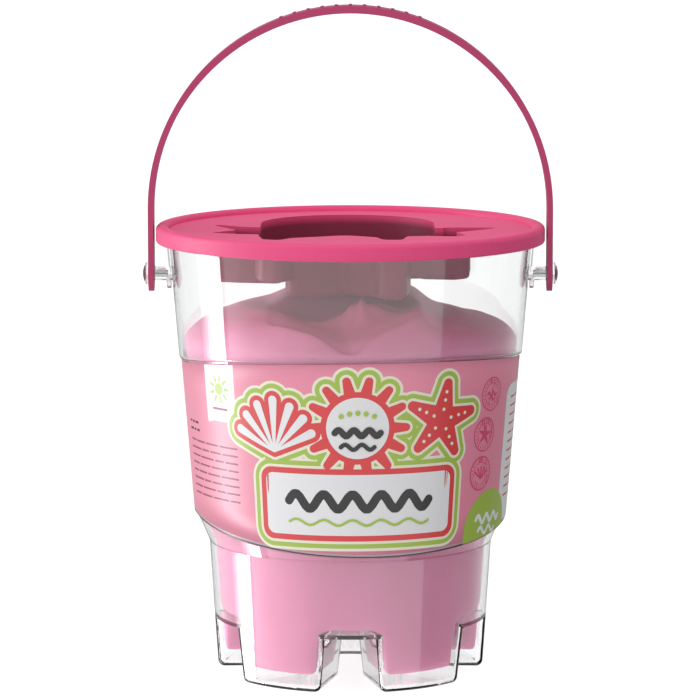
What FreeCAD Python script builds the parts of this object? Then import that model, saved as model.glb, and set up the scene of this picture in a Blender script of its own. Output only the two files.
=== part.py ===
import FreeCAD, Part
import math
import os
import Sketcher

# Clear castle-shaped sand bucket with a press-on lid, a strap handle on two studs,
# a wrap label and a bag of sand.  Millimetres, +Z up, the handle pivots lie on X,
# the front of the bucket looks along -Y and the feet stand on Z = 0.

doc = FreeCAD.newDocument("sand_bucket")
sheet = doc.addObject("Spreadsheet::Sheet", "sizes")

DIMENSIONS = (
    # shell
    ("wall", 1.6, "moulded wall thickness"),
    ("rim_height", 190.7, "top of the bucket's rim"),
    ("base_radius", 57.6, "outer radius under the feet"),
    ("waist_radius", 61.2, "outer radius below the label"),
    ("waist_height", 57.0, "where the waist starts to flare"),
    ("flare_radius", 67.4, "outer radius where the flare ends"),
    ("flare_height", 71.0, "where the flare ends"),
    ("label_radius", 67.8, "label surface radius at the flare height"),
    ("label_slope", 0.082, "label surface: radius gained per height"),
    ("upper_radius", 73.95, "upper wall radius at the ledge height"),
    ("upper_slope", 0.084, "upper wall: radius gained per height"),
    ("ledge_height", 136.6, "ledge over the label, at the sides"),
    ("ledge_rise", 0.1035, "ledge: rise per distance towards front and back"),
    ("step_height", 70.4, "step under the label, at the sides"),
    ("step_drop", 0.165, "step: drop per distance towards front and back"),
    ("band_blend", 60.0, "radius that blends the two halves of ledge and step"),
    ("band_turn", 9.0, "turn of ledge and step about the axis, degrees"),
    ("ledge_round", 1.1, "rounding of the ledge's outer edge"),
    ("step_round", 0.9, "rounding of the step's outer edge"),
    ("rim_radius", 81.3, "outer radius of the rim flange"),
    ("rim_thickness", 1.8, "height of the rim flange"),
    # castle feet
    ("notch_height", 23.8, "ceiling of the notches between the feet"),
    ("notch_draft", 5.6, "lean of the notch walls, degrees"),
    ("hub_radius", 20.5, "open centre between the feet"),
    ("hub_flare", 2.4, "radius that the open centre gains towards the floor"),
    ("foot_corner", 3.0, "rounding of the feet's upright edges"),
    ("foot_round", 2.8, "rounding under the feet"),
    ("hollow_corner", 2.0, "rounding of the hollow feet's upright edges"),
    ("hollow_round", 1.7, "rounding around the hollow feet's floor"),
    # lugs and studs
    ("pivot_height", 172.8, "handle pivot above the feet"),
    ("lug_width", 13.0, "width of the lug's tongue"),
    ("lug_thickness", 1.6, "thickness of the lug's tongue"),
    ("lug_outer", 79.4, "outer face of the lug at the pivot"),
    ("lug_lean", 4.8, "lean of the lug, as the wall, degrees"),
    ("lug_drop", 1.0, "top of the tongue below the rim"),
    ("boss_radius", 3.1, "boss that spaces the strap off the lug"),
    ("boss_end", 84.3, "end face of the boss"),
    ("spigot_radius", 1.7, "pressed end of the stud"),
    ("spigot_length", 5.6, "length of the pressed end"),
    ("shank_radius", 2.75, "bearing part of the stud"),
    ("head_radius", 4.7, "head of the stud"),
    ("head_face", 87.2, "inner face of the stud's head"),
    ("head_end", 89.6, "crown of the stud's head"),
    ("head_dome", 8.6, "spherical radius of the head"),
    # handle
    ("strap_width", 14.0, "width of the strap"),
    ("strap_outer", 87.0, "outer half width and arch radius"),
    ("strap_inner", 84.7, "inner half width and arch radius"),
    ("strap_crown", 0.9, "extra thickness at the top of the arch"),
    ("arch_height", 201.2, "centre of the arch above the feet"),
    ("eye_radius", 7.7, "rounded eye at each end"),
    ("eye_bore", 2.83, "radius of the hole in the eye"),
    ("rib_height", 0.5, "grip ribs on the strap"),
    ("rib_width", 1.4, "width of a grip rib"),
    ("rib_length", 8.0, "length of a grip rib"),
    ("rib_span", 40.0, "arc covered by the grip ribs, degrees"),
    ("rib_count", 11, "number of grip ribs"),
    # lid
    ("lid_radius", 83.8, "outer radius of the lid"),
    ("lid_bottom", 187.0, "lower edge of the skirt"),
    ("lid_top", 194.2, "top of the raised outer ring"),
    ("lid_round", 2.2, "rounding of the lid's top edge"),
    ("lid_skirt", 1.7, "thickness of the skirt"),
    ("lid_gap", 0.3, "gap between the rim and the lid"),
    ("lead_height", 0.6, "height of the chamfer under the skirt"),
    ("lead_width", 0.3, "width of the chamfer under the skirt"),
    ("ring_inner", 78.2, "inner edge of the raised ring"),
    ("deck_top", 191.9, "top of the deck"),
    ("deck_thickness", 1.5, "thickness of the deck"),
    ("plug_radius", 76.1, "outer radius of the plug ring"),
    ("plug_bottom", 186.0, "lower edge of the plug ring"),
    ("mould_wall", 1.5, "wall of the sand mould in the lid"),
    ("mould_round", 2.0, "rounding under the sand mould"),
    ("back_round", 3.0, "rounding under the crab's back"),
    ("back_depth", 166.2, "underside of the crab's back"),
    ("brim_depth", 173.8, "underside of the brim and legs around the crab's back"),
    ("left_claw_depth", 171.0, "underside of the left claw"),
    ("right_claw_depth", 173.4, "underside of the right claw"),
    ("pincer_depth", 183.0, "underside of the right claw's long pincer"),
    # label, bag and sand
    ("label_thickness", 0.25, "label film"),
    ("label_margin", 0.9, "distance from the ledge and the step"),
    ("bag_gap", 0.8, "distance from the bag to the shell"),
    ("bag_film", 0.3, "thickness of the bag"),
    ("sand_bottom", 6.6, "underside of the sand in the feet"),
    ("sand_top", 163.0, "top of the sand"),
    ("sand_crest", 46.0, "radius where the sand starts to fall away"),
    ("sand_edge", 147.0, "height of the sand at the wall"),
    ("sand_edge_radius", 70.95, "radius at which that height is taken"),
    ("neck_length", 22.0, "half length of the gathered neck"),
    ("neck_depth", 15.0, "half depth of the gathered neck"),
    ("neck_height", 5.2, "half height of the gathered neck"),
    ("neck_middle", 160.1, "height of the neck's middle"),
    ("neck_front", 27.0, "distance of the neck in front of the axis"),
)
for row, (alias, value, note) in enumerate(DIMENSIONS, start=1):
    sheet.set(f"A{row}", alias)
    sheet.set(f"B{row}", str(value))
    sheet.set(f"C{row}", note)
    sheet.setAlias(f"B{row}", alias)
doc.recompute()

SKY = 240.0      # above everything, for tools that cut all the way up
REACH = 100.0    # beyond everything sideways
BELOW = 2.0      # how far tools start under the feet, and walls overlap
BAND_SPAN = ("50", "150")     # heights that hold the whole label band
FILM_SPAN = ("52", "148")     # a little less, for the label's outer face
UPPER_START = "125"           # below the lowest point of the ledge
STEP_HEIGHTS = (57, 73)       # between these the step's edge runs
LEDGE_HEIGHTS = (135, 150)    # between these the ledge's edge runs
SIDES = (("left", -1), ("right", 1))

# Notches between the feet: direction from the front about Z, and half angle.
NOTCHES = ((0.0, 13.6), (71.0, 17.0), (144.0, 15.5), (216.0, 15.5), (289.0, 17.0))

# Plan of the crab mould in the lid: corner x, corner y, corner radius.  The crab's back is
# the deep middle; its brim, legs and claws are shallower.
CRAB_BRIM = (
    (-39.0, 61.0, 37.0), (-39.0, -27.0, 4.0), (-37.0, -41.0, 3.0), (-30.0, -44.0, 3.0),
    (-25.0, -36.0, 4.0), (-14.0, -31.0, 8.0), (-2.0, -25.0, 8.0), (11.0, -33.0, 4.0),
    (14.0, -43.0, 3.0), (22.0, -43.0, 3.0), (24.0, -29.0, 3.0), (36.5, -27.0, 4.0),
    (36.5, 61.0, 37.0),
)
CRAB_BACK = (
    (-26.0, 52.0, 26.0), (-26.0, -34.0, 3.0), (-14.0, -31.0, 8.0), (-2.0, -25.0, 8.0),
    (11.0, -33.0, 4.0), (14.0, -43.0, 3.0), (22.0, -43.0, 3.0), (24.0, -29.0, 3.0),
    (25.5, 52.0, 25.0),
)
LEFT_CLAW = (
    (-30.0, 5.0, 2.5), (-46.0, 9.0, 8.0), (-62.0, 21.0, 1.6), (-49.0, -4.0, 2.2),
    (-60.0, -15.0, 1.6), (-47.0, -20.0, 8.0), (-30.0, -23.0, 2.5),
)
RIGHT_CLAW = (
    (30.0, -27.0, 2.5), (44.0, -29.5, 3.0), (49.5, -25.0, 2.5), (45.0, -13.0, 2.2),
    (50.0, -9.0, 2.0), (50.0, 4.0, 2.5), (30.0, 5.0, 2.5),
)
LONG_PINCER = ((40.0, -11.0, 2.5), (50.0, -9.0, 5.0), (65.0, 6.0, 1.6), (40.0, 6.5, 2.5))


def size(alias):
    return float(sheet.get(alias))


def cell(text):
    """An expression in which each word is a cell of the sheet, worked out as a number."""
    return float(sheet.evalExpression(text))


def bind(thing, **expressions):
    """Ties properties of a document object to expressions of the sheet."""
    for prop, text in expressions.items():
        thing.setExpression(prop.replace("__", "."), text)


def add(kind, name, **expressions):
    thing = doc.addObject(kind, name)
    bind(thing, **expressions)
    return thing


def combine(kind, name, things):
    """A boolean of several objects: Part::MultiFuse or Part::MultiCommon."""
    result = doc.addObject(kind, name)
    result.Shapes = list(things)
    return result


def cut(name, base, tool):
    result = doc.addObject("Part::Cut", name)
    result.Base = base
    result.Tool = tool
    return result


def origin_part(body, role):
    return next(item for item in body.Origin.OriginFeatures if item.Role == role)


def new_sketch(body, name, plane):
    sketch = body.newObject("Sketcher::SketchObject", name)
    sketch.AttachmentSupport = [(origin_part(body, plane), "")]
    sketch.MapMode = "FlatFace"
    return sketch


def pin(sketch, kind, index, point, text):
    """Ties a point's distance from the sketch's origin to an expression."""
    value = cell(text)
    number = sketch.addConstraint(Sketcher.Constraint(kind, -1, 1, index, point, value))
    sketch.setExpression(f"Constraints[{number}]", text)


def outline(body, name, plane, corners):
    """Closed sketch through corners (x, y) or (x, y, radius, turn).

    Each value is an expression.  A corner with a radius is reached by an arc,
    turn 1 for counter-clockwise and -1 for clockwise."""
    sketch = new_sketch(body, name, plane)
    points = [FreeCAD.Vector(cell(c[0]), cell(c[1]), 0) for c in corners]
    ends = []
    for index, corner in enumerate(corners):
        start, end = points[index - 1], points[index]
        if len(corner) == 2:
            sketch.addGeometry(Part.LineSegment(start, end))
            ends.append((1, 2))
            continue
        radius, turn = cell(corner[2]), corner[3]
        if turn < 0:
            start, end = end, start
        chord = end - start
        rise = math.sqrt(max(0.0, radius ** 2 - chord.Length ** 2 / 4))
        side = FreeCAD.Vector(-chord.y, chord.x, 0).normalize()
        centre = (start + end) / 2 + side * rise
        circle = Part.Circle(centre, FreeCAD.Vector(0, 0, 1), radius)
        first = math.atan2(start.y - centre.y, start.x - centre.x)
        last = math.atan2(end.y - centre.y, end.x - centre.x)
        sketch.addGeometry(Part.ArcOfCircle(circle, first, last))
        ends.append((1, 2) if turn > 0 else (2, 1))
    for index, corner in enumerate(corners):
        follower = (index + 1) % len(corners)
        sketch.addConstraint(
            Sketcher.Constraint("Coincident", index, ends[index][1], follower, ends[follower][0]))
    for index, corner in enumerate(corners):
        pin(sketch, "DistanceX", index, ends[index][1], corner[0])
        pin(sketch, "DistanceY", index, ends[index][1], corner[1])
        if len(corner) == 2:
            continue
        if (points[index] - points[index - 1]).Length > 1.999 * cell(corner[2]):
            pin(sketch, "DistanceY", index, 3, corner[1])
            continue
        number = sketch.addConstraint(Sketcher.Constraint("Radius", index, cell(corner[2])))
        sketch.setExpression(f"Constraints[{number}]", corner[2])
    return sketch


def revolve(body, name, sketch, axis="Z_Axis"):
    feature = body.newObject("PartDesign::Revolution", name)
    feature.Profile = sketch
    feature.ReferenceAxis = (origin_part(body, axis), [""])
    feature.Angle = 360
    return feature


def extrude(body, name, sketch, kind="PartDesign::Pad", **expressions):
    """Pad or pocket, to both sides of its sketch alike."""
    feature = body.newObject(kind, name)
    feature.Profile = sketch
    feature.Midplane = True
    bind(feature, **expressions)
    return feature


def disc(body, name, plane, height, radius):
    """Sketch of one circle whose centre is at a height on the sketch's upright."""
    sketch = new_sketch(body, name, plane)
    centre = FreeCAD.Vector(0, cell(height), 0)
    sketch.addGeometry(Part.Circle(centre, FreeCAD.Vector(0, 0, 1), cell(radius)))
    sketch.addConstraint(Sketcher.Constraint("PointOnObject", 0, 3, -2))
    pin(sketch, "DistanceY", 0, 3, height)
    number = sketch.addConstraint(Sketcher.Constraint("Radius", 0, cell(radius)))
    sketch.setExpression(f"Constraints[{number}]", radius)
    return sketch


def named_edges(shape, wanted):
    return [i for i, edge in enumerate(shape.Edges, start=1) if wanted(edge)]


def fillet(name, base, radius, wanted):
    doc.recompute()
    result = doc.addObject("Part::Fillet", name)
    result.Base = base
    result.Edges = [(i, radius, radius) for i in named_edges(base.Shape, wanted)]
    return result


# --- Bucket form ----------------------------------------------------------------------
# The moulded outside and the hollow inside are one form at two insets, and the bag and
# the sand are the same form again, further in.

def band_region(name, height, slope, lift):
    """Everything above a ledge that rises or drops evenly to the front and the back."""
    body = doc.addObject("PartDesign::Body", name)
    low = f"{height} + {lift}"
    far = f"{low} + ({slope}) * {REACH}"
    sketch = outline(body, name + "_section", "YZ_Plane", (
        (f"-{REACH}", far), ("0", low), (f"{REACH}", far),
        (f"{REACH}", f"{SKY}"), (f"-{REACH}", f"{SKY}")))
    prism = body.newObject("PartDesign::Pad", name + "_prism")
    prism.Profile = sketch
    prism.Midplane = True
    prism.Length = 2 * REACH
    doc.recompute()
    ridge = named_edges(prism.Shape, lambda e: e.BoundBox.YLength < 0.01
                        and e.BoundBox.ZLength < 0.01 and abs(e.BoundBox.Center.y) < 0.01)
    blend = body.newObject("PartDesign::Fillet", name + "_blend")
    blend.Base = (prism, [f"Edge{i}" for i in ridge])
    bind(blend, Radius="sizes.band_blend")
    body.Placement.Rotation = FreeCAD.Rotation(FreeCAD.Vector(0, 0, 1), size("band_turn"))
    return body


def cone(name, low, high, radius, slope, datum):
    """Frustum whose radius is given at a datum height and grows by a slope."""
    return add("Part::Cone", name, Placement__Base__z=low, Height=f"{high} - ({low})",
               Radius1=f"{radius} + ({slope}) * ({low} - ({datum}))",
               Radius2=f"{radius} + ({slope}) * ({high} - ({datum}))")


def crown_cutter(tag, inset):
    """The open hub and the five notches that leave the castle's feet standing."""
    depth = f"sizes.notch_height + {BELOW} + {inset}"
    tools = [add("Part::Cone", tag + "_hub", Placement__Base__z=f"-{BELOW}", Height=depth,
                 Radius1=f"sizes.hub_radius + sizes.hub_flare + {inset}",
                 Radius2=f"sizes.hub_radius + {inset}")]
    for number, (heading, half) in enumerate(NOTCHES, start=1):
        body = doc.addObject("PartDesign::Body", f"{tag}_notch_{number}")
        back = f"({inset}) / sin({half})"
        half_width = f"({REACH} + {back}) * tan({half})"
        section = outline(body, f"{tag}_notch_{number}_plan", "XY_Plane", (
            ("0", back), (f"-({half_width})", f"-{REACH}"), (half_width, f"-{REACH}")))
        section.AttachmentOffset.Base.z = -BELOW
        wedge = body.newObject("PartDesign::Pad", f"{tag}_notch_{number}_wedge")
        wedge.Profile = section
        bind(wedge, Length=depth, TaperAngle="-sizes.notch_draft")
        body.Placement.Rotation = FreeCAD.Rotation(FreeCAD.Vector(0, 0, 1), heading)
        tools.append(body)
    return combine("Part::MultiFuse", tag + "_crown", tools)


def bucket_form(tag, inset, floor, top):
    """The whole form at an inset, from a floor height up to a top height."""
    lower = doc.addObject("PartDesign::Body", tag + "_lower")
    profile = outline(lower, tag + "_lower_profile", "XZ_Plane", (
        ("0", floor), (f"sizes.base_radius - {inset}", floor),
        (f"sizes.waist_radius - {inset}", "sizes.waist_height"),
        (f"sizes.flare_radius - {inset}", "sizes.flare_height"),
        ("0", "sizes.flare_height")))
    revolve(lower, tag + "_lower_turn", profile)
    band = cone(tag + "_band", *BAND_SPAN, f"sizes.label_radius - sizes.label_thickness - {inset}",
                "sizes.label_slope", "sizes.flare_height")
    over_step = band_region(tag + "_over_step", "sizes.step_height", "-sizes.step_drop", inset)
    upper = cone(tag + "_upper", UPPER_START, top, f"sizes.upper_radius - {inset}",
                 "sizes.upper_slope", "sizes.ledge_height")
    over_ledge = band_region(tag + "_over_ledge", "sizes.ledge_height", "sizes.ledge_rise", inset)
    parts = [lower, combine("Part::MultiCommon", tag + "_band_wall", (band, over_step)),
             combine("Part::MultiCommon", tag + "_upper_wall", (upper, over_ledge))]
    return cut(tag + "_form", combine("Part::MultiFuse", tag + "_walls", parts),
               crown_cutter(tag, inset))


def rounded_feet(tag, form, floor, corner, sole):
    """Rounds the feet's upright corners, then the edge around each sole."""
    def upright(edge):
        return edge.BoundBox.ZMin < floor + 1 and edge.BoundBox.ZLength > 15

    def around_sole(edge):
        return edge.BoundBox.ZMax < floor + 0.1

    corners = fillet(tag + "_corners", form, size(corner), upright)
    return fillet(tag + "_feet", corners, size(sole), around_sole)


def around_band(low, high, radius, slope, datum):
    """Picks the nearly level edges, between two heights, that lie on a leaning wall."""
    def wanted(edge):
        if edge.BoundBox.ZLength > 15 or edge.Length < 1:
            return False
        first, last = edge.ParameterRange
        for share in (0.1, 0.5, 0.9):
            point = edge.valueAt(first + share * (last - first))
            at_wall = radius + slope * (point.z - datum)
            if not low < point.z < high or abs(math.hypot(point.x, point.y) - at_wall) > 0.06:
                return False
        return True
    return wanted


outside = bucket_form("outside", "0", "0", "sizes.rim_height")
inside = bucket_form("inside", "sizes.wall", "sizes.wall", f"{SKY}")
outside_feet = rounded_feet("outside", outside, 0, "foot_corner", "foot_round")
inside_feet = rounded_feet("inside", inside, size("wall"), "hollow_corner", "hollow_round")
ledge_edge = around_band(*LEDGE_HEIGHTS, size("upper_radius"), size("upper_slope"),
                         size("ledge_height"))
step_edge = around_band(*STEP_HEIGHTS, cell("sizes.label_radius - sizes.label_thickness"),
                        size("label_slope"), size("flare_height"))
ledge_rounded = fillet("ledge_rounded", outside_feet, size("ledge_round"), ledge_edge)
outside_rounded = fillet("outside_rounded", ledge_rounded, size("step_round"), step_edge)

rim = add("Part::Cylinder", "rim", Radius="sizes.rim_radius", Height="sizes.rim_thickness",
          Placement__Base__z="sizes.rim_height - sizes.rim_thickness")
solids = [outside_rounded, rim]
bores = []
for side, sign in SIDES:
    tongue = doc.addObject("PartDesign::Body", f"{side}_tongue")
    half = "sizes.lug_width / 2"
    rise = "sizes.rim_height - sizes.pivot_height - sizes.lug_drop"
    face = outline(tongue, f"{side}_tongue_face", "YZ_Plane", (
        (half, rise), (f"-{half}", rise), (f"-{half}", "0"), (half, "0", half, 1)))
    plate = tongue.newObject("PartDesign::Pad", f"{side}_tongue_plate")
    plate.Profile = face
    plate.Reversed = True
    bind(plate, Length="sizes.lug_thickness")
    lean = FreeCAD.Rotation(FreeCAD.Vector(0, 1, 0), size("lug_lean"))
    facing = FreeCAD.Rotation(FreeCAD.Vector(0, 0, 1), 0 if sign > 0 else 180)
    place = FreeCAD.Vector(sign * size("lug_outer"), 0, size("pivot_height"))
    tongue.Placement = FreeCAD.Placement(place, facing.multiply(lean))
    along = FreeCAD.Rotation(FreeCAD.Vector(0, 1, 0), 90 * sign)
    boss = add("Part::Cylinder", f"{side}_boss", Radius="sizes.boss_radius",
               Height=f"sizes.boss_end - sizes.upper_radius - {BELOW / 2}",
               Placement__Base__x=f"{sign} * (sizes.upper_radius + {BELOW / 2})",
               Placement__Base__z="sizes.pivot_height")
    bore = add("Part::Cylinder", f"{side}_bore", Radius="sizes.spigot_radius",
               Height="sizes.spigot_length + 1",
               Placement__Base__x=f"{sign} * (sizes.boss_end - sizes.spigot_length)",
               Placement__Base__z="sizes.pivot_height")
    boss.Placement.Rotation = along
    bore.Placement.Rotation = along
    solids += [tongue, boss]
    bores.append(bore)
bucket_blank = cut("bucket_blank", combine("Part::MultiFuse", "bucket_outside", solids),
                   inside_feet)
bucket_shell = cut("bucket_shell", bucket_blank, combine("Part::MultiFuse", "stud_bores", bores))


# --- Studs ----------------------------------------------------------------------------
# Clear studs with a domed head.  The thin spigot is pressed into the lug's boss and the
# strap turns on the thicker shank behind the head.

studs = []
for side, sign in SIDES:
    along = FreeCAD.Rotation(FreeCAD.Vector(0, 1, 0), 90 * sign)
    spigot = add("Part::Cylinder", f"{side}_spigot", Radius="sizes.spigot_radius",
                 Height="sizes.spigot_length",
                 Placement__Base__x=f"{sign} * (sizes.boss_end - sizes.spigot_length)")
    shank = add("Part::Cylinder", f"{side}_shank", Radius="sizes.shank_radius",
                Height="sizes.head_face - sizes.boss_end",
                Placement__Base__x=f"{sign} * sizes.boss_end")
    cap = add("Part::Cylinder", f"{side}_cap", Radius="sizes.head_radius",
              Height="sizes.head_end - sizes.head_face",
              Placement__Base__x=f"{sign} * sizes.head_face")
    dome = add("Part::Sphere", f"{side}_dome", Radius="sizes.head_dome",
               Placement__Base__x=f"{sign} * (sizes.head_end - sizes.head_dome)")
    for cylinder in (spigot, shank, cap):
        cylinder.Placement.Rotation = along
    for piece in (spigot, shank, cap, dome):
        bind(piece, Placement__Base__z="sizes.pivot_height")
    crown = combine("Part::MultiCommon", f"{side}_head", (cap, dome))
    studs.append(combine("Part::MultiFuse", f"pivot_stud_{side}", (spigot, shank, crown)))


# --- Handle ---------------------------------------------------------------------------
# A flat strap that bends into a half circle over the lid.  Its own origin is the centre
# of the arch, so the eyes lie below it.

handle = doc.addObject("PartDesign::Body", "handle_strap")
eyes = "sizes.pivot_height - sizes.arch_height"
outer = outline(handle, "arch_outer", "XZ_Plane", (
    ("sizes.strap_outer", "0"), ("-sizes.strap_outer", "0", "sizes.strap_outer", 1),
    ("-sizes.strap_outer", eyes), ("sizes.strap_outer", eyes)))
extrude(handle, "arch_block", outer, Length="sizes.strap_width")
extrude(handle, "eye_block", disc(handle, "eye_outer", "YZ_Plane", eyes, "sizes.eye_radius"),
        Length="2 * sizes.strap_outer")
deep = f"{eyes} - 2 * sizes.eye_radius"
inner = outline(handle, "arch_inner", "XZ_Plane", (
    ("sizes.strap_inner", "-sizes.strap_crown"),
    ("-sizes.strap_inner", "-sizes.strap_crown", "sizes.strap_inner", 1),
    ("-sizes.strap_inner", deep), ("sizes.strap_inner", deep)))
extrude(handle, "arch_hollow", inner, "PartDesign::Pocket", Length="4 * sizes.strap_width")
extrude(handle, "eye_holes", disc(handle, "eye_hole", "YZ_Plane", eyes, "sizes.eye_bore"),
        "PartDesign::Pocket", Length="3 * sizes.strap_outer")
root = "sizes.strap_outer - 0.5"
crest = "sizes.strap_outer + sizes.rib_height"
half = "sizes.rib_width / 2"
rib_face = outline(handle, "rib_face", "XZ_Plane", (
    (half, root), (half, crest), (f"-{half}", crest), (f"-{half}", root)))
rib_face.AttachmentOffset.Rotation = FreeCAD.Rotation(
    FreeCAD.Vector(0, 0, 1), size("rib_span") / 2)
rib = extrude(handle, "rib", rib_face, Length="sizes.rib_length")
ribs = handle.newObject("PartDesign::PolarPattern", "ribs")
ribs.Originals = [rib]
ribs.Axis = (origin_part(handle, "Y_Axis"), [""])
bind(ribs, Angle="sizes.rib_span", Occurrences="sizes.rib_count")
handle.Tip = ribs
bind(handle, Placement__Base__z="sizes.arch_height")


# --- Lid ------------------------------------------------------------------------------
# A press-on lid with a raised outer ring, a skirt outside the rim, a plug ring inside
# it, and a deep crab-shaped mould that is open on top and hangs into the bucket.

def rounded_plan(corners):
    """Closed wire through corners (x, y, radius), each rounded by a tangent arc."""
    points = [FreeCAD.Vector(x, y, 0) for x, y, _ in corners]
    edges = []
    leaves = []
    arcs = []
    for index, (_, _, radius) in enumerate(corners):
        here = points[index]
        back = (points[index - 1] - here).normalize()
        ahead = (points[(index + 1) % len(points)] - here).normalize()
        half_angle = back.getAngle(ahead) / 2
        reach = radius / math.tan(half_angle)
        inward = (back + ahead).normalize()
        middle = here + inward * (radius / math.sin(half_angle) - radius)
        arcs.append(Part.Arc(here + back * reach, middle, here + ahead * reach).toShape())
        leaves.append((here + back * reach, here + ahead * reach))
    for index, arc in enumerate(arcs):
        edges.append(arc)
        start, end = leaves[index][1], leaves[(index + 1) % len(leaves)][0]
        if (end - start).Length > 1e-4:
            edges.append(Part.LineSegment(start, end).toShape())
    return Part.Wire(Part.__sortEdges__(edges))


def plan_block(name, corners, grow, low, high, rounding=0):
    """Solid under a rounded plan, grown sideways, with its lower edge rounded."""
    wire = rounded_plan(corners)
    if grow:
        wire = wire.makeOffset2D(grow)
    solid = Part.Face(wire).extrude(FreeCAD.Vector(0, 0, high - low))
    solid.translate(FreeCAD.Vector(0, 0, low))
    if rounding:
        sole = [e for e in solid.Edges if e.BoundBox.ZMax < low + 0.01]
        solid = solid.makeFillet(rounding, sole)
    block = doc.addObject("Part::Feature", name)
    block.Shape = solid
    return block


lid_disc = doc.addObject("PartDesign::Body", "lid_disc")
rim_seat = "sizes.rim_height + sizes.lid_gap"
ring_step = "sizes.lid_top - sizes.deck_top"
skirt_inner = "sizes.lid_radius - sizes.lid_skirt"
plug_inner = "sizes.plug_radius - sizes.deck_thickness"
deck_under = "sizes.deck_top - sizes.deck_thickness"
lid_profile = outline(lid_disc, "lid_profile", "XZ_Plane", (
    ("0", "sizes.deck_top"), ("0", deck_under), (plug_inner, deck_under),
    (plug_inner, "sizes.plug_bottom"), ("sizes.plug_radius", "sizes.plug_bottom"),
    ("sizes.plug_radius", rim_seat), (skirt_inner, rim_seat),
    (skirt_inner, "sizes.lid_bottom"),
    ("sizes.lid_radius - sizes.lead_width", "sizes.lid_bottom"),
    ("sizes.lid_radius", "sizes.lid_bottom + sizes.lead_height"),
    ("sizes.lid_radius", "sizes.lid_top - sizes.lid_round"),
    ("sizes.lid_radius - sizes.lid_round", "sizes.lid_top", "sizes.lid_round", 1),
    (f"sizes.ring_inner + {ring_step}", "sizes.lid_top"),
    ("sizes.ring_inner", "sizes.deck_top", ring_step, 1)))
revolve(lid_disc, "lid_turn", lid_profile)

wall = size("mould_wall")
deck = size("deck_top")
under_deck = deck - 0.2    # the mould's walls end just inside the deck
above_lid = deck + 5       # the hollows cut clear through the deck
MOULD = (
    ("crab_brim", CRAB_BRIM, "brim_depth", "mould_round"),
    ("crab_back", CRAB_BACK, "back_depth", "back_round"),
    ("left_claw", LEFT_CLAW, "left_claw_depth", "mould_round"),
    ("right_claw", RIGHT_CLAW, "right_claw_depth", "mould_round"),
    ("long_pincer", LONG_PINCER, "pincer_depth", "mould_round"),
)
walls = [lid_disc]
hollows = []
for name, plan, underside, rounding in MOULD:
    depth = size(underside)
    walls.append(plan_block(name + "_wall", plan, wall, depth, under_deck, size(rounding)))
    hollows.append(plan_block(name + "_hollow", plan, 0, depth + wall, above_lid))
lid = cut("lid", combine("Part::MultiFuse", "lid_blank", walls),
          combine("Part::MultiFuse", "mould_hollow", hollows))


# --- Label ----------------------------------------------------------------------------
# A printed film around the recess between the ledge and the step.

film_outer = cone("film_outer", *FILM_SPAN, "sizes.label_radius", "sizes.label_slope",
                  "sizes.flare_height")
film_inner = cone("film_inner", *BAND_SPAN, "sizes.label_radius - sizes.label_thickness",
                  "sizes.label_slope", "sizes.flare_height")
film = cut("film", film_outer, film_inner)
from_step = band_region("from_step", "sizes.step_height", "-sizes.step_drop",
                        "sizes.label_margin")
to_ledge = band_region("to_ledge", "sizes.ledge_height", "sizes.ledge_rise",
                       "(-sizes.label_margin)")
label_wrap = cut("label_wrap", combine("Part::MultiCommon", "film_over_step", (film, from_step)),
                 to_ledge)


# --- Bag and sand ---------------------------------------------------------------------
# The bag fills the bucket like a second, thinner form, and its gathered neck is folded
# down under the lid's mould.

def heap(name, lift):
    """What lies below the rounded top of the sand, raised by a lift."""
    body = doc.addObject("PartDesign::Body", name)
    profile = outline(body, name + "_profile", "XZ_Plane", (
        ("0", "0"), (f"{REACH}", "0"), (f"{REACH}", f"sizes.sand_edge + {lift}"),
        ("sizes.sand_edge_radius", f"sizes.sand_edge + {lift}"),
        ("sizes.sand_crest", f"sizes.sand_top + {lift}", "sizes.sand_crest", 1),
        ("0", f"sizes.sand_top + {lift}")))
    revolve(body, name + "_turn", profile)
    return body


bag_inset = "(sizes.wall + sizes.bag_gap)"
sand_inset = "(sizes.wall + sizes.bag_gap + sizes.bag_film)"
bag_form = bucket_form("bag", bag_inset, "sizes.sand_bottom - sizes.bag_film", f"{SKY}")
sand_form = bucket_form("sand", sand_inset, "sizes.sand_bottom", f"{SKY}")
sand_fill = combine("Part::MultiCommon", "sand_fill", (sand_form, heap("sand_heap", "0")))
bag_solid = combine("Part::MultiCommon", "bag_solid",
                    (bag_form, heap("bag_heap", "sizes.bag_film")))
neck = add("Part::Ellipsoid", "bag_neck", Radius1="sizes.neck_height",
           Radius2="sizes.neck_length", Radius3="sizes.neck_depth",
           Placement__Base__y="-sizes.neck_front", Placement__Base__z="sizes.neck_middle")
sand_bag = cut("sand_bag", combine("Part::MultiFuse", "bag_and_neck", (bag_solid, neck)),
               sand_fill)


# --- Output ---------------------------------------------------------------------------

NODES = (bucket_shell, *studs, handle, lid, label_wrap, sand_bag, sand_fill)
doc.recompute()
for thing in doc.Objects:
    if "Invalid" in thing.State or "Error" in thing.State:
        raise RuntimeError(f"{thing.Name} did not rebuild: {thing.State}")
os.makedirs("parts", exist_ok=True)
for node in NODES:
    shape = node.Shape
    if shape.isNull() or not shape.isValid() or not shape.Solids:
        raise RuntimeError(f"{node.Name} has no valid solid")
    node.Label = node.Name
    shape.exportStep(f"parts/{node.Label}.step")
    print(f"{node.Label}: {len(shape.Solids)} solid, {shape.Volume / 1000:.1f} cm3, "
          f"{shape.BoundBox}")
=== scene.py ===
import math
import bmesh
import bpy
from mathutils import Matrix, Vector, noise


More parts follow.
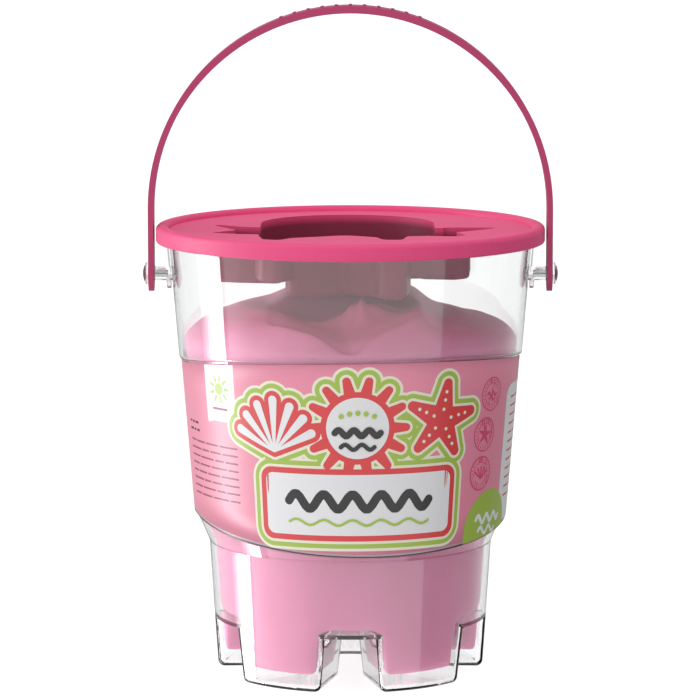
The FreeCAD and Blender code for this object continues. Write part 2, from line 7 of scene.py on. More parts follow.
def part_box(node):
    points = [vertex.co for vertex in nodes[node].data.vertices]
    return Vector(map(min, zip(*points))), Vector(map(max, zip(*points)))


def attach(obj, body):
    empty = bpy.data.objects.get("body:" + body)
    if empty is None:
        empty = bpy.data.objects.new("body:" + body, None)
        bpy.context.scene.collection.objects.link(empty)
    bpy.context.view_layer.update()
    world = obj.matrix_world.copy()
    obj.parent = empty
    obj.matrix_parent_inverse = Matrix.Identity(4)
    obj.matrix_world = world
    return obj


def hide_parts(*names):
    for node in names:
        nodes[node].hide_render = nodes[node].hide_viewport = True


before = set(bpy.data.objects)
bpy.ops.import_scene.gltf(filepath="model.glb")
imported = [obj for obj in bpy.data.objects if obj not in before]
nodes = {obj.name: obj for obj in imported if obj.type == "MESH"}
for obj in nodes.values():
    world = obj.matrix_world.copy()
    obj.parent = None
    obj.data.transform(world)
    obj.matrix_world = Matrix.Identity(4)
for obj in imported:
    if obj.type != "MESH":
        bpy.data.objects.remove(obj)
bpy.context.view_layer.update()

# --- Bucket shell ---------------------------------------------------------------------
# One clear moulding of styrene acrylonitrile (SAN): castle feet, recess for the label,
# rim flange and lugs.  Injection moulded in a polished tool, so it is as clear as glass,
# and its thick edges look grey because light travels a long way through them.

MM = 0.001


def linear(hex_colour):
    """An sRGB hex colour as linear RGBA."""
    parts = [int(hex_colour[i:i + 2], 16) / 255 for i in (1, 3, 5)]
    return [c / 12.92 if c <= 0.04045 else ((c + 0.055) / 1.055) ** 2.4 for c in parts] + [1.0]


def per_unit(millimetres):
    """Scale of a texture node whose features are this many millimetres apart."""
    return 1 / (millimetres * MM)


def add_node(tree, kind, settings=(), **inputs):
    """Adds a node with its settings, and sets or links its inputs.

    An input is named with _ for spaces, or by its number, such as _0.
    """
    node = tree.nodes.new(kind)
    for name, value in dict(settings).items():
        setattr(node, name, value)
    for name, value in inputs.items():
        numbered = name[1:].isdigit()
        socket = node.inputs[int(name[1:]) if numbered else name.replace("_", " ")]
        if isinstance(value, bpy.types.NodeSocket):
            tree.links.new(value, socket)
        else:
            socket.default_value = value
    return node


def new_material(name):
    """An empty material, its node tree, its output node and its Object coordinates."""
    material = bpy.data.materials.new(name)
    material.use_nodes = True
    tree = material.node_tree
    tree.nodes.clear()
    output = tree.nodes.new("ShaderNodeOutputMaterial")
    place = tree.nodes.new("ShaderNodeTexCoord").outputs["Object"]
    return material, tree, output, place


def clear_san(name, waviness):
    """Polished clear plastic.  Faint waves from the tool bend what is seen through it."""
    material, tree, output, place = new_material(name)
    waves = add_node(tree, "ShaderNodeTexNoise", Vector=place, Scale=per_unit(9), Detail=1.0)
    bump = add_node(tree, "ShaderNodeBump", Height=waves.outputs["Fac"], Strength=waviness,
                    Distance=0.1 * MM)
    handling = add_node(tree, "ShaderNodeTexNoise", Vector=place, Scale=per_unit(14), Detail=3.0)
    gloss = add_node(tree, "ShaderNodeMapRange", Value=handling.outputs["Fac"], From_Min=0.4,
                     From_Max=0.7, To_Min=0.005, To_Max=0.03)
    plastic = add_node(tree, "ShaderNodeBsdfPrincipled", Base_Color=linear("#FBFCFC"),
                       Roughness=gloss.outputs[0], IOR=1.57, Normal=bump.outputs[0],
                       Transmission_Weight=1.0)
    lamp_light = add_node(tree, "ShaderNodeBsdfTransparent", Color=linear("#F4F5F6"))
    shadow_ray = tree.nodes.new("ShaderNodeLightPath").outputs["Is Shadow Ray"]
    mix = add_node(tree, "ShaderNodeMixShader", _0=shadow_ray, _1=plastic.outputs[0],
                   _2=lamp_light.outputs[0])
    tree.links.new(mix.outputs[0], output.inputs["Surface"])
    tint = add_node(tree, "ShaderNodeVolumeAbsorption", Color=linear("#C4C6C8"), Density=18.0)
    tree.links.new(tint.outputs[0], output.inputs["Volume"])
    return material


def finish_node(name, material):
    """Gives a CAD node its finish."""
    nodes[name].data.materials.clear()
    nodes[name].data.materials.append(material)


shell_plastic = clear_san("moulded_clear_san", 0.06)
finish_node("bucket_shell", shell_plastic)

# --- Pivot studs ----------------------------------------------------------------------
# Two small pins of the same clear plastic with domed heads, pressed into the lugs.  They
# are so small that the melt leaves hardly any waves in them.

stud_plastic = clear_san("moulded_clear_san_small", 0.02)
for side in ("left", "right"):
    finish_node(f"pivot_stud_{side}", stud_plastic)

# --- Handle strap ---------------------------------------------------------------------
# A flat strap of pink polypropylene with grip ribs.  Moulded flat and bent over the lid;
# a fine spark-eroded grain leaves it satin, and its pink drifts a little with the flow.


def polypropylene(name, colour, grain, roughness, deep=None):
    """Satin polypropylene with a fine eroded grain.

    deep is painted shade: a darker pink laid into the colour where the lid shades the mould.
    It gives that colour, the height in mm up to which it is full, the height from which there
    is none, and the radius in mm outside which there is none.
    """
    material, tree, output, place = new_material(name)
    flow = add_node(tree, "ShaderNodeTexNoise", Vector=place, Scale=per_unit(35), Detail=2.0)
    tone = add_node(tree, "ShaderNodeMix", {"data_type": "RGBA"}, Factor=flow.outputs["Fac"],
                    A=linear(colour[0]), B=linear(colour[1]))
    pink = tone.outputs["Result"]
    # Painted shade: below the deck and inside the rim the pink is laid darker, in place of the lid's
    # shadow.
    if deep:
        painted_shadow_colour, full_to, none_from, reach = deep
        height = add_node(tree, "ShaderNodeSeparateXYZ", Vector=place).outputs["Z"]
        rise = add_node(tree, "ShaderNodeMapRange", Value=height, From_Min=full_to * MM,
                        From_Max=none_from * MM)
        flat = add_node(tree, "ShaderNodeVectorMath", {"operation": "MULTIPLY"}, _0=place,
                        _1=(1, 1, 0))
        radius = add_node(tree, "ShaderNodeVectorMath", {"operation": "LENGTH"},
                          _0=flat.outputs[0])
        rim = add_node(tree, "ShaderNodeMath", {"operation": "GREATER_THAN"},
                       _0=radius.outputs["Value"], _1=reach * MM)
        plain = add_node(tree, "ShaderNodeMath", {"operation": "MAXIMUM"}, _0=rise.outputs[0],
                         _1=rim.outputs[0])
        shadowed_pink = add_node(tree, "ShaderNodeMix", {"data_type": "RGBA"}, Factor=plain.outputs[0],
                          A=linear(painted_shadow_colour), B=pink)
        pink = shadowed_pink.outputs["Result"]
    pits = add_node(tree, "ShaderNodeTexNoise", Vector=place, Scale=per_unit(grain), Detail=2.0)
    bump = add_node(tree, "ShaderNodeBump", Height=pits.outputs["Fac"], Strength=0.25,
                    Distance=0.03 * MM)
    satin = add_node(tree, "ShaderNodeMapRange", Value=pits.outputs["Fac"], From_Min=0.3,
                     From_Max=0.7, To_Min=roughness - 0.05, To_Max=roughness + 0.05)
    # The grain breaks the gloss, so the specular level is under the usual 0.5.
    plastic = add_node(tree, "ShaderNodeBsdfPrincipled", Base_Color=pink,
                       Roughness=satin.outputs[0], IOR=1.49, Normal=bump.outputs[0],
                       Specular_IOR_Level=0.22)
    tree.links.new(plastic.outputs[0], output.inputs["Surface"])
    return material


STRAP_PINK = ("#B9446F", "#C24B77")
strap_plastic = polypropylene("moulded_polypropylene_strap", STRAP_PINK, 0.7, 0.42)
finish_node("handle_strap", strap_plastic)

# --- Lid ------------------------------------------------------------------------------
# A press-on lid of the same pink polypropylene, with the crab mould hanging from it.
# Its deck has a slightly coarser grain than the strap, so it shines a little less.  The
# mould's walls under the deck get painted shade: a darker pink laid into their colour.

LID_PINK = ("#F3528A", "#F65A90")
# Painted shade for the mould's walls: a darker pink standing in for the shadow under the lid.
MOULD_PAINTED_SHADE = ("#913752", 188.0, 191.0, 77.0)    # full in the mould, none in deck and skirt
lid_plastic = polypropylene("moulded_polypropylene_lid_painted_shade", LID_PINK, 1.0, 0.5, MOULD_PAINTED_SHADE)
finish_node("lid", lid_plastic)

# --- Label ----------------------------------------------------------------------------
# A wrap of printed white polypropylene film in the recess, with a satin varnish.  The
# film is one band, made as a grid that follows the ledge above and the step below.

LABEL_SLOPE = 0.082         # radius gained per height, as the wall
LABEL_TURN = math.radians(9)    # the edges' bow peaks this far round from the front
LABEL_EDGES = ((71.3, -0.165), (135.7, 0.1035))   # height at the sides, and rise towards the peak
SIDE_ROUNDING = 0.08        # rounds each edge's bow where it passes the sides
FILM_THICKNESS = 0.2
COLUMN = 1.5                # mm between the folds that bend the film and its print
PRINT_RADIUS = 71.0         # radius at which widths on the print are true
INK_CHANGE = 0.04           # how much an ink's colour changes over its dots
label_low, label_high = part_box("label_wrap")
label_top_radius = -label_low.y / MM


def film_radius(height):
    return label_top_radius - LABEL_SLOPE * (label_high.z / MM - height)


def film_edge(along, edge):
    """Height of the film's lower (0) or upper (1) edge at a distance along the print."""
    height, rise = LABEL_EDGES[edge]
    towards_front = math.hypot(math.cos(along / PRINT_RADIUS - LABEL_TURN), SIDE_ROUNDING)
    return height + rise * film_radius(height) * towards_front


def wrapped(along, height, lift):
    """Place in the frame of a point of the flat print."""
    angle = along / PRINT_RADIUS
    radius = film_radius(height) + lift
    return Vector((radius * math.sin(angle), -radius * math.cos(angle), height)) * MM


def new_piece(name, bm, materials):
    """Makes a finished bmesh into a smooth piece that rides on the bucket."""
    mesh = bpy.data.meshes.new(name)
    bm.to_mesh(mesh)
    bm.free()
    mesh.polygons.foreach_set("use_smooth", [True] * len(mesh.polygons))
    piece = bpy.data.objects.new(name, mesh)
    bpy.context.scene.collection.objects.link(piece)
    for material in materials:
        mesh.materials.append(material)
    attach(piece, "bucket")
    return piece


def printed_film(name, colour):
    """Ink under satin varnish: the dots of the print and the film's ripple barely show."""
    material, tree, output, place = new_material(name)
    dots = add_node(tree, "ShaderNodeTexNoise", Vector=place, Scale=per_unit(0.6), Detail=1.0)
    full = linear(colour)[:3]
    thin_ink = [c * (1 - INK_CHANGE) for c in full] + [1]
    thick_ink = [min(1, c * (1 + INK_CHANGE)) for c in full] + [1]
    tone = add_node(tree, "ShaderNodeMix", {"data_type": "RGBA"}, Factor=dots.outputs["Fac"],
                    A=thin_ink, B=thick_ink)
    ripple = add_node(tree, "ShaderNodeTexNoise", Vector=place, Scale=per_unit(22), Detail=1.0)
    bump = add_node(tree, "ShaderNodeBump", Height=ripple.outputs["Fac"], Strength=0.15,
                    Distance=0.1 * MM)
    ink = add_node(tree, "ShaderNodeBsdfPrincipled", Base_Color=tone.outputs["Result"],
                   Roughness=0.38, IOR=1.49, Normal=bump.outputs[0])
    tree.links.new(ink.outputs[0], output.inputs["Surface"])
    return material


PRINT = {
    "pink": printed_film("printed_film_pink", "#F093AC"),
    "cream": printed_film("printed_film_cream", "#F6F2DC"),
    "green": printed_film("printed_film_green", "#A9C653"),
    "red": printed_film("printed_film_red", "#E0474B"),
    "white": printed_film("printed_film_white", "#F1F1F3"),
    "black": printed_film("printed_film_black", "#121214"),
    "rose": printed_film("printed_film_rose", "#DE5579"),
    "maroon": printed_film("printed_film_maroon", "#8A3B55"),
    # grey and dark are not print inks: they are painted highlight and painted shade at the film's
    # lower edge.
    "grey": printed_film("painted_highlight_grey_film", "#B9A9AF"),
    "dark": printed_film("painted_shade_dark_film", "#43353C"),
}
INKS = list(PRINT)


def film_band(from_low, from_high, rows, lift=0.0):
    """A band right round the film, between two heights that vary along it."""
    bm = bmesh.new()
    columns = round(2 * math.pi * PRINT_RADIUS / COLUMN)
    bmesh.ops.create_grid(bm, x_segments=columns, y_segments=rows, size=1)
    for vert in bm.verts:
        along = vert.co.x * math.pi * PRINT_RADIUS
        low, high = from_low(along), from_high(along)
        vert.co = wrapped(along, low + (high - low) * (vert.co.y + 1) / 2, lift)
    bmesh.ops.remove_doubles(bm, verts=bm.verts, dist=0.01 * MM)
    bmesh.ops.recalc_face_normals(bm, faces=bm.faces)
    if sum(face.normal.dot(face.calc_center_median() * Vector((1, 1, 0))) for face in bm.faces) < 0:
        bmesh.ops.reverse_faces(bm, faces=bm.faces)
    return bm


film = film_band(lambda along: film_edge(along, 0), lambda along: film_edge(along, 1), 6)
bmesh.ops.solidify(film, geom=film.faces[:], thickness=FILM_THICKNESS * MM)
label = new_piece("label_film", film, [PRINT["pink"]])
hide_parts("label_wrap")

# Painted light along the film's lower edge: a pale grey band of highlight, and a dark line of shade.
# Each is a band between two distances over the film's lower edge, lifted off the film.
for name, ink, low, high, lift in (("label_hem_painted_highlight", "grey", 0.1, 1.5, 0.012),
                                   ("label_hem_painted_shade", "dark", 0.1, 0.75, 0.016)):
    hem = film_band(lambda along: film_edge(along, 0) + low, lambda along: film_edge(along, 0) + high,
                    1, lift)
    new_piece(name, hem, [PRINT[ink]])

# --- Print ----------------------------------------------------------------------------
# Inks on the film, each a hair above the one below.  Every motif is a few round dabs,
# arms and planks, so that a motif's borders are the same dabs drawn larger.  Lengths are
# in millimetres: along the label from the front, and up.

FIRST_LIFT = 0.02         # the first printed shape lies this far off the film
INK = 0.001               # and each shape lies this far over the one before it
MARGIN = 0.3              # the print stops this far inside the film's edges


class Print:
    """A flat drawing in millimetres: along the label, and up."""

    def __init__(self):
        self.bm = bmesh.new()
        self.lift = FIRST_LIFT

    def lay(self, verts, ink):
        """Gives new faces their ink and lays them over everything before them."""
        self.lift += INK
        for vert in verts:
            vert.co.z = self.lift
            for face in vert.link_faces:
                face.material_index = INKS.index(ink)

    def disc(self, x, y, radius, ink, segments=40):
        made = bmesh.ops.create_circle(self.bm, cap_ends=True, segments=segments, radius=radius)
        bmesh.ops.translate(self.bm, verts=made["verts"], vec=(x, y, 0))
        self.lay(made["verts"], ink)

    def plank(self, x, y, width, height, corner, ink):
        made = bmesh.ops.create_grid(self.bm, x_segments=1, y_segments=1, size=0.5)
        bmesh.ops.scale(self.bm, verts=made["verts"], vec=(width, height, 1))
        bmesh.ops.translate(self.bm, verts=made["verts"], vec=(x, y, 0))
        if corner > 0:
            made = bmesh.ops.bevel(self.bm, geom=made["verts"], offset=corner, segments=8,
                                   profile=0.5, affect="VERTICES", material=-1)
            faces = {face for vert in made["verts"] for face in vert.link_faces}
            made["verts"] = [vert for face in faces for vert in face.verts]
        self.lay(made["verts"], ink)

    def arm(self, start, end, radius, tip, ink, round_start=True):
        """A tapered bar with round ends."""
        (x0, y0), (x1, y1) = start, end
        length = math.hypot(x1 - x0, y1 - y0)
        side = Vector((y0 - y1, x1 - x0, 0)) / length
        corners = [Vector((x0, y0, 0)) + side * radius, Vector((x0, y0, 0)) - side * radius,
                   Vector((x1, y1, 0)) - side * tip, Vector((x1, y1, 0)) + side * tip]
        verts = [self.bm.verts.new(corner) for corner in corners]
        self.bm.faces.new(verts)
        self.lay(verts, ink)
        self.disc(x1, y1, tip, ink, 20)
        if round_start:
            self.disc(x0, y0, radius, ink, 20)

    def wave(self, x, y, length, crests, swing, radius, ink):
        """A thick wavy line."""
        steps = 10 * crests
        shares = [step / steps for step in range(steps + 1)]
        points = [(x + length * (share - 0.5), y + swing * math.sin(2 * math.pi * crests * share))
                  for share in shares]
        for start, end in zip(points, points[1:]):
            self.arm(start, end, radius, radius, ink, round_start=start is points[0])

    def place(self, name, turn=0.0):
        """Folds the drawing at every column, wraps it on the film and makes it a piece."""
        bm = self.bm
        xs = [vert.co.x for vert in bm.verts]
        for column in range(math.ceil(min(xs) / COLUMN), math.floor(max(xs) / COLUMN) + 1):
            bmesh.ops.bisect_plane(bm, geom=bm.verts[:] + bm.edges[:] + bm.faces[:],
                                   plane_co=(column * COLUMN, 0, 0), plane_no=(1, 0, 0))
        shift = round(turn * PRINT_RADIUS / COLUMN) * COLUMN
        for vert in bm.verts:
            along = vert.co.x + shift
            low = film_edge(along, 0) + MARGIN
            high = film_edge(along, 1) - MARGIN
            vert.co = wrapped(along, min(max(vert.co.y, low), high), vert.co.z)
        bmesh.ops.dissolve_degenerate(bm, edges=bm.edges[:], dist=1e-6)
        return new_piece(name, bm, [PRINT[ink] for ink in INKS])


BORDERS = ((4.3, "cream"), (3.1, "green"), (1.2, "cream"), (0.0, "red"))    # growth and ink


def rays(art, x, y, count, inner, outer, base, tip, ink):
    """Tapered rays round a disc."""
    for ray in range(count):
        angle = 2 * math.pi * ray / count
        reach = (math.cos(angle), math.sin(angle))
        art.arm((x + inner * reach[0], y + inner * reach[1]),
                (x + outer * reach[0], y + outer * reach[1]), base, tip, ink)


def sun(art, x, y, grow, ink):
    art.disc(x, y, 15.5 + grow, ink)
    rays(art, x, y, 14, 13, 20.5, 2.6 + grow, 1.7 + grow, ink)


def scallop(art, x, y, grow, ink):
    """A fan shell: ribs that spread from the hinge."""
    for rib in range(-3, 4):
        angle = math.radians(21 * rib)
        length = 22 - 1.1 * abs(rib)
        end = (x + length * math.sin(angle), y + length * math.cos(angle))
        art.arm((x, y), end, 2.4 + grow, 3.9 + grow, ink)


def star_point(x, y, ray, distance):
    """A point on one of the starfish's five rays."""
    angle = math.radians(72 * ray + 8)
    return x + distance * math.sin(angle), y + distance * math.cos(angle)


def starfish(art, x, y, grow, ink, scale=1.0):
    for ray in range(5):
        art.arm((x, y), star_point(x, y, ray, 15.5 * scale), 5.6 * scale + grow,
                2.2 * scale + grow, ink)


SHELL_AT, SUN_AT, STAR_AT, PLAQUE_AT = (-33, 105), (3, 116), (40, 118), (4, 83)
PLAQUE_WIDTH, PLAQUE_HEIGHT, PLAQUE_CORNER = 88, 31, 5


def emblem(name, turn):
    """Sun, shell and starfish over a plaque, with one border around them all."""
    art = Print()
    for grow, ink in BORDERS:
        scallop(art, *SHELL_AT, grow, ink)
        sun(art, *SUN_AT, grow, ink)
        starfish(art, *STAR_AT, grow, ink)
        art.plank(*PLAQUE_AT, PLAQUE_WIDTH + 2 * grow, PLAQUE_HEIGHT + 2 * grow,
                  PLAQUE_CORNER + grow, ink)
    art.disc(*SUN_AT, 13.1, "white")
    scallop(art, *SHELL_AT, -2.0, "white")
    for ray in range(5):
        for step in (4.5, 8.5, 12.0):
            art.disc(*star_point(*STAR_AT, ray, step), 0.75, "cream", 14)
    art.plank(*PLAQUE_AT, PLAQUE_WIDTH, PLAQUE_HEIGHT, PLAQUE_CORNER, "red")
    art.plank(*PLAQUE_AT, PLAQUE_WIDTH - 4.8, PLAQUE_HEIGHT - 4.8, PLAQUE_CORNER - 1.6, "white")
    art.wave(4, 84.5, 62, 5, 3.2, 1.9, "black")
    art.wave(4, 75.5, 62, 5, 1.2, 0.55, "green")
    art.wave(3, 114.0, 19, 3, 1.3, 1.35, "black")
    art.wave(3, 108.0, 14, 2, 1.1, 0.9, "black")
    for spot in range(-2, 3):
        art.disc(3 + 3.4 * spot, 122.5 - 0.35 * spot * spot, 1.1, "green", 16)
    art.place(name, turn)


emblem("label_emblem_front", 0.0)
emblem("label_emblem_back", math.pi)

# A white ribbon with a green sun hangs from the label's upper edge.
RIBBON_X, RIBBON_SUN_Y = -62, 129
art = Print()
art.plank(RIBBON_X, 130, 19, 30, 0.0, "white")
for side in (-1, 1):
    art.arm((RIBBON_X + side * 6.6, 117), (RIBBON_X + side * 8.6, 114.6), 2.6, 0.7, "white")
art.disc(RIBBON_X, RIBBON_SUN_Y, 2.6, "green", 24)
rays(art, RIBBON_X, RIBBON_SUN_Y, 9, 3.9, 5.9, 0.7, 0.45, "green")
art.plank(RIBBON_X, 120.4, 9.5, 1.0, 0.4, "maroon")
art.place("label_ribbon")


def paragraph(art, x, top, width, lines, ink, pitch=3.3, thickness=0.75):
    """Plain bars where small print would be: each line is a few bars of mixed length."""
    shortest, longest, gap = 0.16 * width, 0.29 * width, 1.1
    for line in range(lines):
        start = x
        y = top - pitch * line
        for word in range(4):
            mixed = (3 * line + 5 * word) % 4 / 3
            length = shortest + (longest - shortest) * mixed
            if start + length > x + width:
                break
            art.plank(start + length / 2, y, length, thickness, thickness * 0.4, ink)
            start += length + gap


for name, start in (("label_small_print_left", -92.0), ("label_small_print_back", -150.0)):
    art = Print()
    paragraph(art, start, 112.0, 14, 2, "black", thickness=1.0)
    paragraph(art, start, 104.0, 40, 8, "maroon")
    art.place(name)

# Three round badges in rose line work: waves, a starfish and a shell.
BADGES = ((69.5, 126), (66.0, 109), (65.0, 92.3))
BADGE_RINGS = ((7.4, "rose"), (6.8, "pink"), (5.0, "rose"), (4.6, "pink"))
BADGE_DOTS = 22
art = Print()
for number, (x, y) in enumerate(BADGES):
    for radius, ink in BADGE_RINGS:
        art.disc(x, y, radius, ink)
    for dot in range(BADGE_DOTS):
        angle = 2 * math.pi * dot / BADGE_DOTS
        art.disc(x + 5.9 * math.cos(angle), y + 5.9 * math.sin(angle), 0.38, "rose", 10)
    if number == 0:
        art.wave(x, y, 6.4, 2, 0.9, 0.5, "rose")
        art.wave(x, y - 2.0, 4.6, 1, 0.6, 0.4, "rose")
    elif number == 1:
        starfish(art, x, y, 0.0, "rose", 0.24)
    else:
        for rib in range(-2, 3):
            angle = math.radians(26 * rib)
            end = (x + 5 * math.sin(angle), y - 2.4 + 5 * math.cos(angle))
            art.arm((x, y - 2.4), end, 0.3, 0.55, "rose")
art.place("label_badges")

# A white panel of small print beside a green disc that runs off the lower edge.
art = Print()
art.plank(112, 98, 56, 60, 6, "white")
paragraph(art, 90.0, 122.0, 42, 12, "red", pitch=3.9, thickness=0.9)
art.disc(74, 66, 18.4, "green", 64)
art.wave(74, 72, 20, 3, 1.7, 0.9, "white")
art.wave(73, 67, 14, 2, 1.5, 0.8, "white")
art.place("label_panel")

# --- Bag of sand ----------------------------------------------------------------------
# Kneadable pink sand in a thin clear bag that fills the bucket.  The body is remeshed
# from the sand's own solid, and its top is shaped into the lobes, the cleft and the
# gathered neck that the folded bag makes under the mould.

SAND_VOXEL = 1.7          # mm
SAND_TOP_FROM = 140.0     # mm; what lies above this may be shaped
FEET_BELOW = 34.0         # mm; below this the bag rounds off, as it can't fill the corners
SAND_EDGE = (66, 72)      # mm; the shaping of the top fades out between these radii
CLEFT_STARTS, CLEFT_IS_FULL, CLEFT_ENDS = -74, -44, (-20, 0)    # mm, from front to back
CLEFT_HALF_WIDTH = (4, 32)                  # mm, at its start and where it is full
CLEFT_DEPTH = (4.5, 12.0)                   # mm, likewise
LOBES = ((-45, -44, 12, 12, 1.8), (27, -46, 14, 12, 1.6))       # place, sizes and height
NECK_X, NECK_Y, NECK_HEIGHT = 5, -27, 11.0
NECK_SIZE = (17, 11)
PLEATS_X = 4              # the pleats spread from just beside the neck's middle


def smooth_step(low, high, value):
    share = min(1.0, max(0.0, (value - low) / (high - low)))
    return share * share * (3 - 2 * share)


def cleft(x, y):
    """How far the cleft sinks: it widens and deepens from the front wall to the neck."""
    along = smooth_step(CLEFT_STARTS, CLEFT_IS_FULL, y)
    half_width = CLEFT_HALF_WIDTH[0] + (CLEFT_HALF_WIDTH[1] - CLEFT_HALF_WIDTH[0]) * along
    depth = CLEFT_DEPTH[0] + (CLEFT_DEPTH[1] - CLEFT_DEPTH[0]) * along
    middle = -3 * along
    valley = max(0.0, 1 - abs(x - middle) / half_width) ** 0.7
    return valley * depth * (1 - smooth_step(*CLEFT_ENDS, y))


def neck(x, y):
    """How far the gathered neck stands up, with its pleats."""
    distance = math.hypot((x - NECK_X) / NECK_SIZE[0], (y - NECK_Y) / NECK_SIZE[1])
    angle = math.atan2(y - NECK_Y, x - PLEATS_X)
    pleats = 1 + 0.25 * math.cos(9 * angle + 2 * math.sin(2 * angle))
    return NECK_HEIGHT * math.exp(-distance ** 2 * 1.8) * pleats


def crown_shift(x, y):
    """How far the bag's top is raised or sunk, in mm, over a plan position in mm."""
    lobes = sum(height * math.exp(-((x - lobe_x) / wide) ** 2 - ((y - lobe_y) / deep) ** 2)
                for lobe_x, lobe_y, wide, deep, height in LOBES)
    # The crown falls off on both sides of the neck, and is a little higher behind it.
    shoulders = 5.5 * smooth_step(26, 38, x) + 2.8 * smooth_step(27, 37, -x)
    shoulders *= 1 - smooth_step(52, 70, math.hypot(x, y))
    back = 1.6 * (1 - smooth_step(18, 30, abs(x - 2))) * smooth_step(-14, 4, y)
    return lobes + neck(x, y) + back - shoulders - cleft(x, y)


merged = bmesh.new()
merged.from_mesh(nodes["sand_fill"].data)
bmesh.ops.remove_doubles(merged, verts=merged.verts, dist=0.001 * MM)
block_mesh = bpy.data.meshes.new("sand_block")
merged.to_mesh(block_mesh)
merged.free()
block = bpy.data.objects.new("sand_block", block_mesh)
bpy.context.scene.collection.objects.link(block)
remesh = block.modifiers.new("voxels", "REMESH")
remesh.mode = "VOXEL"
remesh.voxel_size = SAND_VOXEL * MM
voxels = bpy.data.meshes.new_from_object(block.evaluated_get(bpy.context.evaluated_depsgraph_get()))
bpy.data.objects.remove(block)

sand = bmesh.new()
sand.from_mesh(voxels)


def relax(times, factor, above=-math.inf, below=math.inf):
    """Evens the bag out between two heights in mm."""
    for _ in range(times):
        verts = [vert for vert in sand.verts if above * MM < vert.co.z < below * MM]
        bmesh.ops.smooth_vert(sand, verts=verts, factor=factor, use_axis_x=True,
                              use_axis_y=True, use_axis_z=True)


relax(3, 0.5)
relax(6, 0.5, below=FEET_BELOW)
sand.normal_update()
for vert in sand.verts:
    x, y, z = vert.co / MM
    top = smooth_step(0.15, 0.5, vert.normal.z) if z > SAND_TOP_FROM else 0.0
    inner = 1 - smooth_step(*SAND_EDGE, math.hypot(x, y))
    wrinkle = noise.fractal(Vector((x, y, 0)) / 13, 1.0, 2.0, 3)
    vert.co.z += top * (inner * crown_shift(x, y) + 0.35 * wrinkle) * MM
relax(2, 0.3, above=SAND_TOP_FROM)


def bagged_sand(name):
    """Fine dyed sand behind a thin film: matt grains, with the film's soft shine on top."""
    material, tree, output, place = new_material(name)
    clumps = add_node(tree, "ShaderNodeTexNoise", Vector=place, Scale=per_unit(18), Detail=3.0)
    tone = add_node(tree, "ShaderNodeMix", {"data_type": "RGBA"}, Factor=clumps.outputs["Fac"],
                    A=linear("#E77FAA"), B=linear("#EE89B4"))
    # The real grains are 0.2 mm; they are drawn at 0.8 mm so that they show at all.
    grains = add_node(tree, "ShaderNodeTexNoise", Vector=place, Scale=per_unit(0.8), Detail=2.0)
    speckle = add_node(tree, "ShaderNodeMix", {"data_type": "RGBA", "blend_type": "SOFT_LIGHT"},
                       Factor=0.3, A=tone.outputs["Result"], B=grains.outputs["Fac"])
    bump = add_node(tree, "ShaderNodeBump", Height=grains.outputs["Fac"], Strength=0.3,
                    Distance=0.08 * MM)
    body = add_node(tree, "ShaderNodeBsdfPrincipled", Base_Color=speckle.outputs["Result"],
                    Roughness=0.7, IOR=1.5, Normal=bump.outputs[0], Coat_Weight=0.3,
                    Coat_Roughness=0.25)
    tree.links.new(body.outputs[0], output.inputs["Surface"])
    return material


bag = new_piece("bag_of_sand", sand, [bagged_sand("kneadable_sand_in_film")])
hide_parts("sand_fill", "sand_bag")

# --- Studio ---------------------------------------------------------------------------
# A pale floor in a white surround.  What the clear wall mirrors is set apart from what
# lights the object: the mirrored front is a milky veil, and the shining light comes from
# above and the left.  Tall strips on the left make the bright band on the wall.

FLOOR_REACH = 12.0
floor = bmesh.new()
bmesh.ops.create_circle(floor, cap_ends=True, segments=96, radius=FLOOR_REACH)
floor_mesh = bpy.data.meshes.new("floor")
floor.to_mesh(floor_mesh)
floor.free()
floor_piece = bpy.data.objects.new("floor", floor_mesh)
bpy.context.scene.collection.objects.link(floor_piece)
floor_white, tree, output, place = new_material("painted_floor_white")
paint = add_node(tree, "ShaderNodeBsdfPrincipled", Base_Color=linear("#8C8C8C"), Roughness=0.9,
                 Emission_Color=(1, 1, 1, 1), Emission_Strength=0.85)
tree.links.new(paint.outputs[0], output.inputs["Surface"])
floor_mesh.materials.append(floor_white)
floor_piece.visible_glossy = False    # so that the walls mirror the lights, not the floor
floor_piece.visible_diffuse = False   # and the object is lit by the lights alone
floor_piece.visible_shadow = False

world = bpy.data.worlds.new("studio")
bpy.context.scene.world = world
world.use_nodes = True
tree = world.node_tree
tree.nodes.clear()
direction = tree.nodes.new("ShaderNodeTexCoord").outputs["Generated"]
split = add_node(tree, "ShaderNodeSeparateXYZ", Vector=direction)
forward = add_node(tree, "ShaderNodeMath", {"operation": "MULTIPLY"}, _0=split.outputs["Y"],
                   _1=-1.0)
heading = add_node(tree, "ShaderNodeMath", {"operation": "ARCTAN2"}, _0=split.outputs["X"],
                   _1=forward.outputs[0])


def between(low, high, soft):
    """1 where the heading lies between two angles from the front, in degrees."""
    rise = add_node(tree, "ShaderNodeMapRange", Value=heading.outputs[0],
                    From_Min=math.radians(low - soft), From_Max=math.radians(low + soft))
    fall = add_node(tree, "ShaderNodeMapRange", Value=heading.outputs[0],
                    From_Min=math.radians(high - soft), From_Max=math.radians(high + soft),
                    To_Min=1.0, To_Max=0.0)
    return add_node(tree, "ShaderNodeMath", {"operation": "MULTIPLY"}, _0=rise.outputs[0],
                    _1=fall.outputs[0]).outputs[0]


# What is mirrored: the veil in front, a dark side on the right, and the plain surround.
SURROUND, VEIL, DARK_SIDE = 0.45, 1.75, 0.10
veiled = between(low=-89, high=63, soft=0.6)
dark_side = between(low=64, high=130, soft=8)
level = add_node(tree, "ShaderNodeMapRange", Value=veiled, To_Min=SURROUND, To_Max=VEIL)
dim = add_node(tree, "ShaderNodeMath", {"operation": "MULTIPLY"}, _0=dark_side,
               _1=SURROUND - DARK_SIDE)
mirrored = add_node(tree, "ShaderNodeMath", {"operation": "SUBTRACT"}, _0=level.outputs[0],
                    _1=dim.outputs[0])
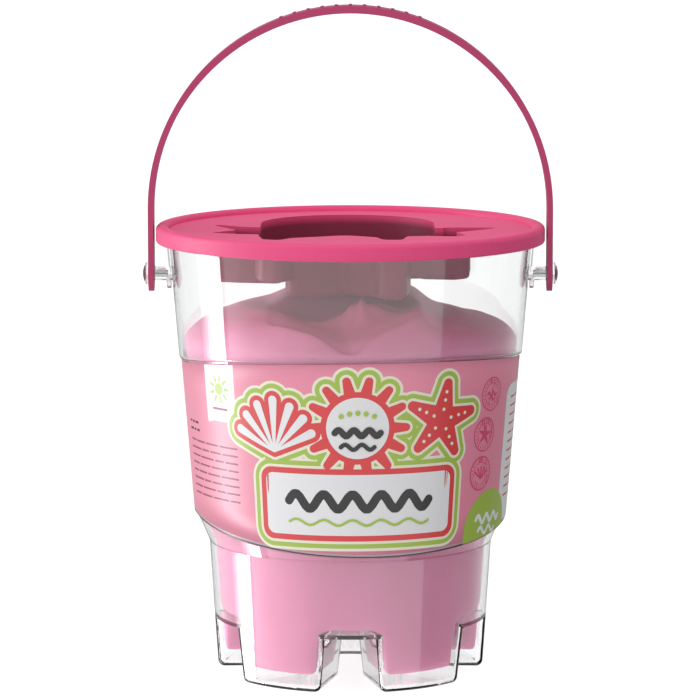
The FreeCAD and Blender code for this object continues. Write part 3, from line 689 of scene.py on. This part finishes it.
# What shines: from the left, little from the right, and from the ceiling.
LEFT_LIGHT, RIGHT_LIGHT, CEILING = 1.25, 0.2, 1.0
sides = add_node(tree, "ShaderNodeMapRange", Value=split.outputs["X"], From_Min=-1.0,
                 From_Max=0.8, To_Min=LEFT_LIGHT, To_Max=RIGHT_LIGHT)
overhead = add_node(tree, "ShaderNodeMapRange", {"interpolation_type": "SMOOTHSTEP"},
                    Value=split.outputs["Z"], From_Min=0.2, From_Max=0.7)
shining = add_node(tree, "ShaderNodeMix", {"data_type": "FLOAT"}, Factor=overhead.outputs[0],
                   A=sides.outputs[0], B=CEILING)
# A ray that a surface mirrors sees the one, and a ray that has come through the wall or
# left a matt surface sees the other.  The camera sees plain white.
path = tree.nodes.new("ShaderNodeLightPath").outputs
mirror_ray = add_node(tree, "ShaderNodeMath", {"operation": "SUBTRACT", "use_clamp": True},
                      _0=path["Is Glossy Ray"], _1=path["Is Transmission Ray"])
unseen = add_node(tree, "ShaderNodeMix", {"data_type": "FLOAT"}, Factor=mirror_ray.outputs[0],
                  A=shining.outputs[0], B=mirrored.outputs[0])
strength = add_node(tree, "ShaderNodeMix", {"data_type": "FLOAT"}, Factor=path["Is Camera Ray"],
                    A=unseen.outputs[0], B=1.0)
background = add_node(tree, "ShaderNodeBackground", Color=(1, 1, 1, 1),
                      Strength=strength.outputs[0])
add_node(tree, "ShaderNodeOutputWorld", Surface=background.outputs[0])

# One wide strip, and three narrow ones that fade its far edge: heading in degrees from
# the front, width in metres, and share of the full strength.
STRIPS = ((-96.3, 0.294, 1.0), (-104.6, 0.07, 0.55), (-107.8, 0.07, 0.28), (-111.0, 0.07, 0.1))
STRIP_REACH, STRIP_HEIGHT = 1.25, 2.2
STRIP_POWER = 39.5        # watts for each square metre
for number, (turn, width, share) in enumerate(STRIPS):
    strip_data = bpy.data.lights.new(f"strip_light_{number}", "AREA")
    strip_data.shape = "RECTANGLE"
    strip_data.size, strip_data.size_y = width, STRIP_HEIGHT
    strip_data.energy = STRIP_POWER * share * width * STRIP_HEIGHT
    strip = bpy.data.objects.new(f"strip_light_{number}", strip_data)
    bpy.context.scene.collection.objects.link(strip)
    angle = math.radians(turn)
    strip.location = (STRIP_REACH * math.sin(angle), -STRIP_REACH * math.cos(angle), 0.0)
    strip.rotation_euler = (-strip.location).to_track_quat("-Z", "Y").to_euler()
    strip.visible_camera = False
    strip.visible_diffuse = False
    strip.visible_transmission = False

CAMERA_LOOKS_DOWN = 7.7   # degrees
camera_data = bpy.data.cameras.new("camera")
camera_data.sensor_width = 36.0
camera_data.lens = 210.9
camera_data.shift_x = -0.0006
camera_data.clip_start, camera_data.clip_end = 0.05, 60.0
camera = bpy.data.objects.new("camera", camera_data)
bpy.context.scene.collection.objects.link(camera)
camera.location = (0.0, -1.7589, 0.3771)
camera.rotation_euler = (math.radians(90 - CAMERA_LOOKS_DOWN), 0, 0)
bpy.context.scene.camera = camera
bpy.context.scene.view_settings.view_transform = "Standard"
